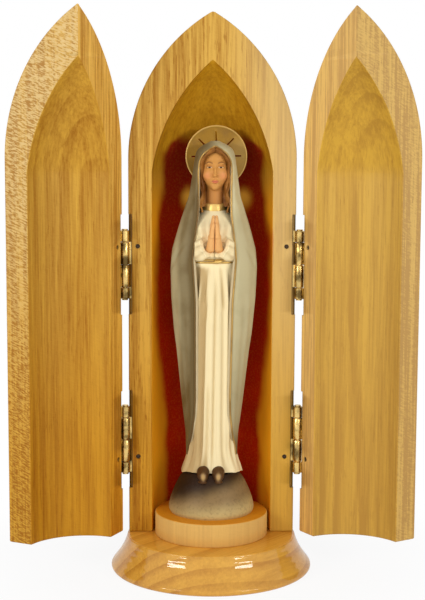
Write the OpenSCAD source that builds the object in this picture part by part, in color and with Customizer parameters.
// Folding table shrine: an ogive capsule with two hinged doors on a turned foot,
// holding a praying figure on a half globe. Millimetres, +Z up, front toward -Y.
// The doors stand open as drawn.

/* [Foot] */
// Reach of the foot's rounded edge past the ring
foot_flare = 5.9; // [3:0.1:9]
// Height of the foot up to the flat ring
foot_h = 12.7; // [8:0.1:18]
// Radius of the rounding along the foot's lower edge
foot_edge_r = 1.3; // [0.8:0.1:2]
// Width of the flat ring that shows outside the shell
ring_margin = 0.6; // [0.2:0.1:2]
// Gap between the raised disc and the shell's hollow
disc_fit = 1.1; // [0.6:0.1:3]
// Height of the raised disc above the ring
disc_h = 8.5; // [4:0.1:12]
// Radius of the softened upper edge of the disc
disc_edge_r = 0.6; // [0.3:0.1:1]

/* [Shell] */
// Outer radius of the closed capsule
shell_r = 30.4; // [27:0.1:34]
// Thickness of the shell's wall
wall = 8.6; // [7.6:0.1:10]
// Height of the straight sides above the ring
side_h = 137.7; // [100:0.1:150]
// Height of the pointed top above the straight sides
ogive_h = 52.6; // [45:0.1:60]
// Radius of the softened tip
tip_r = 1.5; // [0.8:0.1:3]
// Drop of the hollow's crease below the end of the straight sides
crease_drop = 4.4; // [1:0.1:10]
// Wood between the hollow's point and the capsule's point
tip_wall = 17.2; // [12:0.1:22]
// Lean of the hollow's wall just above the crease
crease_lean = 8.5; // [4:0.5:14]

/* [Doors] */
// How far the left door stands open
left_open = 116; // [0:1:180]
// How far the right door stands open
right_open = 121; // [0:1:180]
// Gap between the doors and the niche, and between the doors, when closed
parting_gap = 0.5; // [0.3:0.1:1]
// Gap under the doors
door_lift = 0.6; // [0.3:0.1:1.5]

/* [Hinges] */
// Length of one hinge
hinge_l = 25; // [18:0.5:30]
// Distance from the shell's surface out to the hinge line
hinge_offset = 1.3; // [1:0.1:2]
// Radius of the barrel
barrel_r = 1.7; // [1.4:0.05:2]
// Radius of the pin
pin_r = 0.8; // [0.6:0.05:1]
// Lip of the pin's end button around the pin
button_lip = 0.35; // [0.2:0.05:0.5]
// Height of the pin's end button
button_h = 0.4; // [0.2:0.05:0.6]
// Thickness of a leaf
leaf_t = 0.7; // [0.5:0.05:0.8]
// Reach of a leaf from the hinge line
leaf_w = 7; // [5:0.1:8]
// Drop of the upper hinges' middle below the end of the straight sides
upper_hinge_drop = 38.1; // [25:0.1:50]
// Height of the lower hinges' middle above the ring
lower_hinge_h = 35; // [25:0.1:50]
// Distance of the brads from a hinge's middle
brad_shift = 6.6; // [3:0.1:9]
// Distance of the brads in from the shell's surface
brad_inset = 3.4; // [2.5:0.1:4]
// Radius of a brad
brad_r = 0.6; // [0.4:0.05:0.8]
// Length of a brad
brad_l = 5; // [3:0.1:7]
// Run of the saw kerf and the groove past each end of a hinge
kerf_run = 5.75; // [2:0.05:8]

/* [Fits] */
// Radial clearance of a pin in its knuckles
run_fit = 0.05; // [0.02:0.01:0.1]
// Gap between neighbouring knuckles
knuckle_gap = 0.3; // [0.2:0.05:0.5]
// Clearance on each side of a leaf in its kerf
kerf_fit = 0.1; // [0.05:0.05:0.2]
// Clearance of the groove around a barrel
groove_fit = 0.8; // [0.4:0.05:1.2]
// Radial clearance of a brad in wood and brass
brad_fit = 0.03; // [0.02:0.01:0.1]
// Clearance under the shoes on the globe
shoe_fit = 0.1; // [0.05:0.05:0.3]

/* [Figure] */
// Radius of the half globe
globe_r = 15.7; // [12:0.1:17]
// Radius of the rounding at the globe's foot
globe_edge_r = 2.4; // [1:0.1:4]
// Depth of the flat cut off the globe's top
globe_cut = 3; // [1:0.1:5]
// Room between the top of the hood and the hollow's point
head_room = 29; // [24:0.1:40]
// Widest width of the mantle
mantle_w = 31.4; // [26:0.2:34]
// Greatest depth of the mantle
mantle_d = 20; // [16:0.2:24]
// Width of the robe at its hem
robe_w = 22.2; // [18:0.2:26]
// Depth of the robe at its hem
robe_d = 17; // [14:0.2:20]
// Width of the head
head_w = 11; // [8:0.1:13]
// Depth of the head
head_d = 12.4; // [10:0.1:15]
// Width of the hair
hair_w = 14; // [11:0.1:16]
// Depth of the hair
hair_d = 13.2; // [11:0.1:16]
// Radius of a hand at the palm
palm_r = 1.9; // [1.4:0.1:2.4]
// Radius of a sleeve at the cuff
cuff_r = 2.9; // [2:0.1:3.5]
// Radius of a shoe
shoe_r = 2.2; // [1.6:0.1:2.6]
// Radius of the halo disc
halo_r = 11; // [8:0.1:13]
// Thickness of the halo disc
halo_t = 0.8; // [0.5:0.1:1.5]
// Sideways shift of the halo
halo_shift = 1; // [0:0.1:2]
// Width of the halo's slots
slot_w = 0.8; // [0.5:0.1:1.2]

/* [Hidden] */
// How far cutting bodies run past what they cut
overrun = 1;
// Smoothness of lofts, small rounds and true curves
loft_fn = 32;
round_fn = 20;
curve_fn = 96;

left = -1;
right = 1;
wood = [0.86, 0.66, 0.38];
brass = [0.83, 0.66, 0.29];
ivory = [0.90, 0.84, 0.70];
blue = [0.62, 0.68, 0.70];
flesh = [0.88, 0.68, 0.52];
brown = [0.36, 0.22, 0.12];
dark = [0.24, 0.20, 0.18];

// Foot outline
ring_r = shell_r + ring_margin;
foot_r = ring_r + foot_flare;
edge_turn = 40;
flare_z_share = 0.45;
flare_r_share = 0.42;

// Shell outline
hollow_r = shell_r - wall;
disc_r = hollow_r - disc_fit;
spring_z = foot_h + side_h;
crease_z = spring_z - crease_drop;
hollow_z = spring_z + ogive_h - tip_wall;
ogive_r = (shell_r * shell_r + ogive_h * ogive_h) / (2 * shell_r);
tip_z = spring_z + sqrt(pow(ogive_r - tip_r, 2) - pow(ogive_r - shell_r, 2));
tip_join_z = spring_z + ogive_r * (tip_z - spring_z) / (ogive_r - tip_r);
arch_h = hollow_z - crease_z;
arch_turn = atan(hollow_r / arch_h) - crease_lean;
arch_r = norm([hollow_r, arch_h]) / (2 * sin(arch_turn));

// Hinges
hinge_x = shell_r + hinge_offset;
upper_z = spring_z - upper_hinge_drop;
lower_z = foot_h + lower_hinge_h;
knuckle_from_shares = [0, 0.17, 0.5, 0.83];
knuckle_to_shares = [0.17, 0.5, 0.83, 1];
kerf_t = leaf_t + 2 * kerf_fit;
kerf_y = barrel_r - leaf_t - kerf_fit;
kerf_w = leaf_w + 2 * kerf_fit;
kerf_l = hinge_l + 2 * kerf_run;
groove_r = barrel_r + groove_fit;
button_r = pin_r + button_lip;
brad_x = shell_r - brad_inset;
rim_y = parting_gap / 2;

// Figure: each loft row is height, width, depth and forward place, as shares
disc_z = foot_h + disc_h;
globe_z = disc_z + globe_edge_r;
stand_z = globe_z + globe_r - globe_cut;
figure_h = hollow_z - stand_z - head_room;
robe_shares = [
    [0, 1, 1, 0], [0.03, 0.9, 0.94, 0], [0.08, 0.82, 0.88, 0], [0.2, 0.8, 0.86, 0],
    [0.36, 0.84, 0.9, 0], [0.53, 0.86, 0.93, 0], [0.64, 0.8, 0.87, 0], [0.7, 0.84, 0.93, 0],
    [0.76, 0.86, 0.95, 0], [0.81, 0.7, 0.75, 0], [0.835, 0.42, 0.5, 0]
];
mantle_shares = [
    [0.052, 0.61, 0.86, 0], [0.122, 0.61, 0.86, 0], [0.217, 0.7, 0.88, 0], [0.371, 0.84, 0.94, 0],
    [0.432, 0.905, 0.96, 0], [0.527, 0.975, 1, 0], [0.615, 1, 1, 0], [0.678, 0.968, 0.97, 0],
    [0.733, 0.84, 0.92, 0], [0.802, 0.685, 0.86, -0.01], [0.827, 0.61, 0.82, -0.02],
    [0.862, 0.56, 0.8, -0.02], [0.891, 0.53, 0.8, -0.02], [0.944, 0.47, 0.76, 0],
    [0.985, 0.29, 0.52, 0], [1, 0.1, 0.2, 0]
];
head_shares = [
    [0.815, 0.62, 0.48, 0.04], [0.845, 0.55, 0.46, 0.02], [0.86, 0.56, 0.52, -0.04],
    [0.866, 0.64, 0.74, -0.14], [0.882, 0.8, 0.86, -0.11], [0.902, 0.93, 0.94, -0.08],
    [0.927, 1, 1, -0.06], [0.952, 0.98, 1, -0.05], [0.972, 0.82, 0.86, -0.03], [0.985, 0.56, 0.6, -0.02],
    [0.991, 0.2, 0.24, -0.02]
];
hair_shares = [
    [0.8, 0.9, 0.56, 0.05], [0.83, 0.96, 0.72, 0.04], [0.86, 1, 0.86, 0.01], [0.89, 1, 0.94, -0.01],
    [0.92, 1, 1, -0.03], [0.95, 0.92, 0.98, -0.02], [0.972, 0.76, 0.84, -0.01], [0.986, 0.5, 0.58, 0],
    [0.993, 0.2, 0.24, 0]
];
// Mantle's front opening and the face's place in the hair: height and half width, as shares
opening_shares = [
    [0.02, 0.34], [0.135, 0.21], [0.55, 0.204], [0.65, 0.229], [0.745, 0.229], [0.795, 0.2],
    [0.875, 0.185], [0.935, 0.159], [0.967, 0.083], [0.979, 0]
];
face_shares = [[0.775, 0.2], [0.84, 0.3], [0.875, 0.34], [0.91, 0.35], [0.94, 0.26], [0.962, 0]];
face_front_share = 0.1;
opening_back_share = 0.03;
// Hands, sleeves, shoes and locks: side, front and height places, as shares
wrist_shares = [0.06, 0.485, 0.668];
palm_shares = [0.048, 0.53, 0.712];
finger_shares = [0.036, 0.57, 0.748];
tip_shares = [0.026, 0.6, 0.776];
thumb_shares = [0.03, 0.49, 0.745];
elbow_shares = [0.33, 0.2, 0.64];
cuff_shares = [0.115, 0.47, 0.667];
heel_shares = [0.095, 0.25, 0.012];
toe_shares = [0.1, 0.53, 0.002];
lock_top_shares = [0.165, 0.25, 0.875];
lock_mid_shares = [0.17, 0.36, 0.8];
lock_end_shares = [0.15, 0.44, 0.755];
hand_round_shares = [0.9, 1, 0.7, 0.42, 0.4];
lock_round_shares = [0.75, 0.7, 0.35];
elbow_round_share = 1.15;
toe_round_share = 0.85;
halo_height_share = 0.955;
halo_seat_share = 0.38;
halo_z = stand_z + halo_height_share * figure_h;
halo_back = halo_seat_share * mantle_d;
slot_count = 8;
slot_from_share = 0.47;
slot_to_share = 0.85;

// Turned pieces

module foot_outline() {
    lift = foot_edge_r + foot_edge_r * sin(edge_turn);
    reach = foot_r - foot_edge_r + foot_edge_r * cos(edge_turn);
    polygon([
        [0, 0],
        [foot_r - foot_edge_r, 0],
        [reach, lift],
        [ring_r + (reach - ring_r) * flare_r_share, lift + (foot_h - lift) * flare_z_share],
        [ring_r, foot_h],
        [0, foot_h]
    ]);
    translate([foot_r - foot_edge_r, foot_edge_r]) circle(r = foot_edge_r, $fn = round_fn);
}

module base_foot() {
    color(wood) rotate_extrude($fn = curve_fn) foot_outline();
}

module base_disc() {
    color(wood) translate([0, 0, foot_h]) rotate_extrude($fn = curve_fn) {
        square([disc_r, disc_h - disc_edge_r]);
        square([disc_r - disc_edge_r, disc_h]);
        translate([disc_r - disc_edge_r, disc_h - disc_edge_r]) circle(r = disc_edge_r, $fn = round_fn);
    }
}

// Shell

module outer_outline() {
    translate([0, foot_h]) square([shell_r, side_h]);
    intersection() {
        translate([shell_r - ogive_r, spring_z]) circle(r = ogive_r, $fn = curve_fn);
        translate([0, spring_z]) square([shell_r, tip_join_z - spring_z]);
    }
    intersection() {
        translate([0, tip_z]) circle(r = tip_r, $fn = curve_fn);
        translate([0, tip_z - tip_r]) square([tip_r, tip_r + tip_r]);
    }
}

module hollow_outline() {
    translate([0, foot_h - overrun]) square([hollow_r, crease_z - foot_h + overrun]);
    intersection() {
        translate([hollow_r - arch_r * cos(crease_lean), crease_z - arch_r * sin(crease_lean)])
            circle(r = arch_r, $fn = curve_fn);
        translate([0, crease_z]) square([hollow_r, arch_h]);
    }
}

module shell_outline() {
    difference() {
        outer_outline();
        hollow_outline();
    }
}

// Cuts for one hinge, drawn for the niche at the hinge line
module hinge_cuts(side, z) {
    translate([side * hinge_x, 0, z]) {
        cylinder(r = groove_r, h = kerf_l, center = true, $fn = curve_fn);
        translate([-side * kerf_w / 2, kerf_y + kerf_t / 2, 0]) cube([kerf_w, kerf_t, kerf_l], center = true);
    }
}

module brad_body(side, z, grow) {
    translate([side * brad_x, rim_y, z]) rotate([-90, 0, 0])
        cylinder(r = brad_r + grow, h = brad_l + grow, $fn = round_fn);
}

module rim_cuts(side) {
    hinge_cuts(side, upper_z);
    hinge_cuts(side, lower_z);
    brad_body(side, upper_z + brad_shift, brad_fit);
    brad_body(side, lower_z - brad_shift, brad_fit);
}

module niche_shell() {
    color(wood) difference() {
        rotate_extrude(angle = 180, $fn = curve_fn) shell_outline();
        translate([-foot_r, -overrun, 0]) cube([2 * foot_r, overrun + rim_y, 2 * spring_z]);
        rim_cuts(left);
        rim_cuts(right);
    }
}

// Moves what is drawn closed to where the door stands
module swing(side) {
    turn = side == left ? -left_open : right_open;
    translate([side * hinge_x, 0, 0]) rotate([0, 0, turn]) translate([-side * hinge_x, 0, 0]) children();
}

module door_closed(side) {
    difference() {
        rotate([0, 0, side == left ? 180 : 270]) rotate_extrude(angle = 90, $fn = curve_fn) shell_outline();
        translate([-foot_r, -rim_y, 0]) cube([2 * foot_r, overrun + rim_y, 2 * spring_z]);
        translate([side == left ? -rim_y : -overrun, -foot_r, 0])
            cube([overrun + rim_y, 2 * foot_r, 2 * spring_z]);
        translate([-foot_r, -foot_r, 0]) cube([2 * foot_r, 2 * foot_r, foot_h + door_lift]);
        mirror([0, 1, 0]) rim_cuts(side);
    }
}

module left_door() {
    color(wood) swing(left) door_closed(left);
}

module right_door() {
    color(wood) swing(right) door_closed(right);
}

// Hinges. The first knuckle from the top goes with "first"; the leaf is drawn for the niche.

module leaf_body(side, z, first) {
    plate_w = leaf_w - barrel_r - kerf_fit;
    difference() {
        union() {
            translate([side * (hinge_x - leaf_w + plate_w / 2), barrel_r - leaf_t / 2, z])
                cube([plate_w, leaf_t, hinge_l], center = true);
            for (i = [first : 2 : len(knuckle_to_shares) - 1]) {
                high = z + hinge_l / 2 - hinge_l * knuckle_from_shares[i] - knuckle_gap / 2;
                low = z + hinge_l / 2 - hinge_l * knuckle_to_shares[i] + knuckle_gap / 2;
                translate([side * hinge_x, 0, low]) {
                    cylinder(r = barrel_r, h = high - low, $fn = curve_fn);
                    translate([side == left ? 0 : plate_w - leaf_w, barrel_r - leaf_t, 0])
                        cube([leaf_w - plate_w, leaf_t, high - low]);
                }
            }
        }
        translate([side * hinge_x, 0, z]) cylinder(r = pin_r + run_fit, h = hinge_l, center = true, $fn = curve_fn);
        brad_body(side, z > (upper_z + lower_z) / 2 ? z + brad_shift : z - brad_shift, brad_fit);
    }
}

module pin_body(side, z) {
    reach = hinge_l / 2;
    translate([side * hinge_x, 0, z]) {
        cylinder(r = pin_r, h = 2 * reach, center = true, $fn = curve_fn);
        translate([0, 0, reach]) cylinder(r = button_r, h = button_h, $fn = curve_fn);
        translate([0, 0, -reach - button_h]) cylinder(r = button_r, h = button_h, $fn = curve_fn);
    }
}

module niche_leaf(side, z) {
    color(brass) leaf_body(side, z, side == left ? 1 : 0);
}

module door_leaf(side, z) {
    color(brass) swing(side) mirror([0, 1, 0]) leaf_body(side, z, side == left ? 0 : 1);
}

module hinge_pin(side, z) {
    color(brass) pin_body(side, z);
}

module niche_brad(side, z) {
    color(brass) brad_body(side, z, 0);
}

module door_brad(side, z) {
    color(brass) swing(side) mirror([0, 1, 0]) brad_body(side, z, 0);
}

module left_upper_niche_leaf() { niche_leaf(left, upper_z); }
module left_upper_door_leaf() { door_leaf(left, upper_z); }
module left_upper_pin() { hinge_pin(left, upper_z); }
module left_lower_niche_leaf() { niche_leaf(left, lower_z); }
module left_lower_door_leaf() { door_leaf(left, lower_z); }
module left_lower_pin() { hinge_pin(left, lower_z); }
module right_upper_niche_leaf() { niche_leaf(right, upper_z); }
module right_upper_door_leaf() { door_leaf(right, upper_z); }
module right_upper_pin() { hinge_pin(right, upper_z); }
module right_lower_niche_leaf() { niche_leaf(right, lower_z); }
module right_lower_door_leaf() { door_leaf(right, lower_z); }
module right_lower_pin() { hinge_pin(right, lower_z); }
module left_upper_niche_brad() { niche_brad(left, upper_z + brad_shift); }
module left_upper_door_brad() { door_brad(left, upper_z + brad_shift); }
module left_lower_niche_brad() { niche_brad(left, lower_z - brad_shift); }
module left_lower_door_brad() { door_brad(left, lower_z - brad_shift); }
module right_upper_niche_brad() { niche_brad(right, upper_z + brad_shift); }
module right_upper_door_brad() { door_brad(right, upper_z + brad_shift); }
module right_lower_niche_brad() { niche_brad(right, lower_z - brad_shift); }
module right_lower_door_brad() { door_brad(right, lower_z - brad_shift); }

// Figure

module globe_outline(grow) {
    intersection() {
        translate([0, globe_z]) circle(r = globe_r + grow, $fn = curve_fn);
        translate([0, globe_z]) square([globe_r + grow, stand_z - globe_z]);
    }
    translate([0, disc_z]) square([globe_r - globe_edge_r, globe_edge_r]);
    intersection() {
        translate([globe_r - globe_edge_r, globe_z]) circle(r = globe_edge_r, $fn = curve_fn);
        translate([globe_r - globe_edge_r, disc_z]) square([globe_edge_r, globe_edge_r]);
    }
}

module globe() {
    color(dark) rotate_extrude($fn = curve_fn) globe_outline(0);
}

// One oval ring of a loft, counter-clockwise from above, each half a step round from the one below
function ring(row, i, w, d) = [
    for (k = [0 : loft_fn - 1])
        let (turn = (k + i / 2) * 360 / loft_fn)
            [cos(turn) * row[1] * w / 2, (row[3] + sin(turn) * row[2] / 2) * d, stand_z + row[0] * figure_h]
];

// A closed skin through the rings of all rows, from the lowest to the highest
module loft(rows, w, d) {
    last = (len(rows) - 1) * loft_fn;
    sides = [
        for (start = [0 : loft_fn : last - loft_fn], k = [0 : loft_fn - 1])
            let (a = start + k, b = start + (k + 1) % loft_fn)
                each [[a, a + loft_fn, b], [b, a + loft_fn, b + loft_fn]]
    ];
    lowest = [for (k = [0 : loft_fn - 1]) k];
    highest = [for (k = [loft_fn - 1 : -1 : 0]) last + k];
    points = [for (i = [0 : len(rows) - 1]) each ring(rows[i], i, w, d)];
    polyhedron(points, concat(sides, [lowest, highest]));
}

module ball(side, place, r) {
    translate([side * place[0] * mantle_w, -place[1] * mantle_d, stand_z + place[2] * figure_h])
        sphere(r = r, $fn = round_fn);
}

module bar(side, a, ra, b, rb) {
    hull() {
        ball(side, a, ra);
        ball(side, b, rb);
    }
}

module shoe_body(side) {
    bar(side, heel_shares, shoe_r, toe_shares, shoe_r * toe_round_share);
}

module shoe(side) {
    color(brown) difference() {
        shoe_body(side);
        rotate_extrude($fn = curve_fn) globe_outline(shoe_fit);
        translate([-globe_r, -globe_r, disc_z]) cube([2 * globe_r, 2 * globe_r, globe_z - disc_z]);
    }
}

module left_shoe() { shoe(left); }
module right_shoe() { shoe(right); }

module hand_body(side) {
    bar(side, wrist_shares, palm_r * hand_round_shares[0], palm_shares, palm_r * hand_round_shares[1]);
    bar(side, palm_shares, palm_r * hand_round_shares[1], finger_shares, palm_r * hand_round_shares[2]);
    bar(side, finger_shares, palm_r * hand_round_shares[2], tip_shares, palm_r * hand_round_shares[3]);
    bar(side, palm_shares, palm_r * hand_round_shares[3], thumb_shares, palm_r * hand_round_shares[4]);
}

module hands_body() {
    hand_body(left);
    hand_body(right);
}

module hands() {
    color(flesh) hands_body();
}

module head_body() {
    loft(head_shares, head_w, head_d);
}

module head() {
    color(flesh) head_body();
}

module robe_body() {
    loft(robe_shares, robe_w, robe_d);
    for (side = [left, right])
        bar(side, elbow_shares, cuff_r * elbow_round_share, cuff_shares, cuff_r);
}

module robe() {
    color(ivory) difference() {
        robe_body();
        head_body();
        hands_body();
        shoe_body(left);
        shoe_body(right);
    }
}

module lock_body(side) {
    bar(side, lock_top_shares, palm_r * lock_round_shares[0], lock_mid_shares, palm_r * lock_round_shares[1]);
    bar(side, lock_mid_shares, palm_r * lock_round_shares[1], lock_end_shares, palm_r * lock_round_shares[2]);
}

module hair_body() {
    loft(hair_shares, hair_w, hair_d);
    lock_body(left);
    lock_body(right);
}

// A prism from the front back to the given depth, with the rows mirrored left to right
module front_prism(rows, w, back) {
    points = concat(
        [for (row = rows) [row[1] * w, stand_z + row[0] * figure_h]],
        [for (i = [len(rows) - 1 : -1 : 0]) [-rows[i][1] * w, stand_z + rows[i][0] * figure_h]]
    );
    translate([0, back, 0]) rotate([90, 0, 0]) linear_extrude(height = mantle_d) polygon(points);
}

module hair() {
    color(brown) difference() {
        hair_body();
        head_body();
        robe_body();
        hands_body();
        front_prism(face_shares, hair_w, -face_front_share * hair_d);
    }
}

module mantle() {
    color(blue) difference() {
        loft(mantle_shares, mantle_w, mantle_d);
        front_prism(opening_shares, mantle_w, -opening_back_share * mantle_d);
        robe_body();
        hair_body();
        head_body();
        hands_body();
    }
}

module halo() {
    color(brass) translate([halo_shift, halo_back + halo_t, halo_z]) rotate([90, 0, 0])
        difference() {
            cylinder(r = halo_r, h = halo_t, $fn = curve_fn);
            for (i = [1 : slot_count])
                rotate([0, 0, i * 360 / slot_count])
                    translate([halo_r * slot_from_share, -slot_w / 2, -overrun])
                        cube([halo_r * (slot_to_share - slot_from_share), slot_w, halo_t + 2 * overrun]);
        }
}

base_foot();
base_disc();
niche_shell();
left_door();
right_door();
left_upper_niche_leaf();
left_upper_door_leaf();
left_upper_pin();
left_lower_niche_leaf();
left_lower_door_leaf();
left_lower_pin();
right_upper_niche_leaf();
right_upper_door_leaf();
right_upper_pin();
right_lower_niche_leaf();
right_lower_door_leaf();
right_lower_pin();
left_upper_niche_brad();
left_upper_door_brad();
left_lower_niche_brad();
left_lower_door_brad();
right_upper_niche_brad();
right_upper_door_brad();
right_lower_niche_brad();
right_lower_door_brad();
globe();
left_shoe();
right_shoe();
robe();
mantle();
head();
hair();
hands();
halo();
